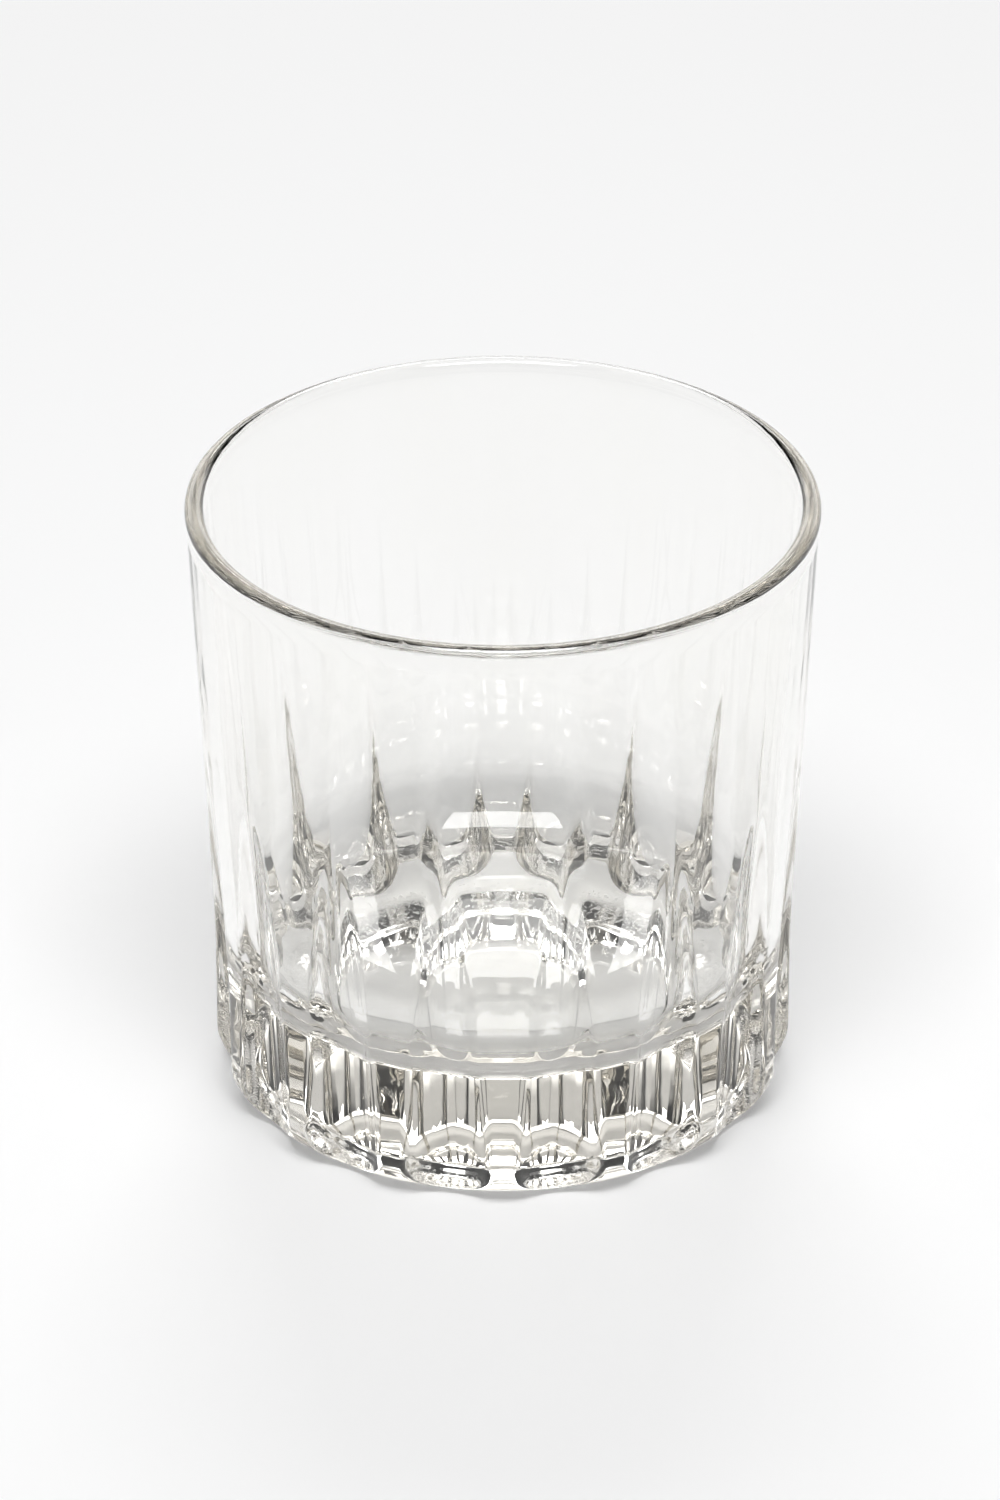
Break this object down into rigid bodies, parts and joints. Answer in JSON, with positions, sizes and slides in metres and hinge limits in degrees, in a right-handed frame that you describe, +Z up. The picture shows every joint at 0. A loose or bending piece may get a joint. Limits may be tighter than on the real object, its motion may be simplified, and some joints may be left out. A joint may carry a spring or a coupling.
{
  "type": "rocks glass",
  "caption": "Clear pressed-glass tumbler with a heavy base, hollow flutes round the lower wall that fade upwards into arches, and a plain rounded lip, for short drinks.",
  "frame": {"origin": "on the glass's axis, at the level that its foot ring stands on", "axes": "+Z up along the glass's axis towards its mouth; +X and -Y each pass through a ridge between two flutes"},
  "size_m": [0.082, 0.082, 0.084],
  "materials": {
    "clear_glass": "fire-polished clear soda-lime glass with a faint grey-green tint in thick sections"
  },
  "bodies": {
    "root": {"glass_body": "clear_glass"}
  },
  "joints": []
}
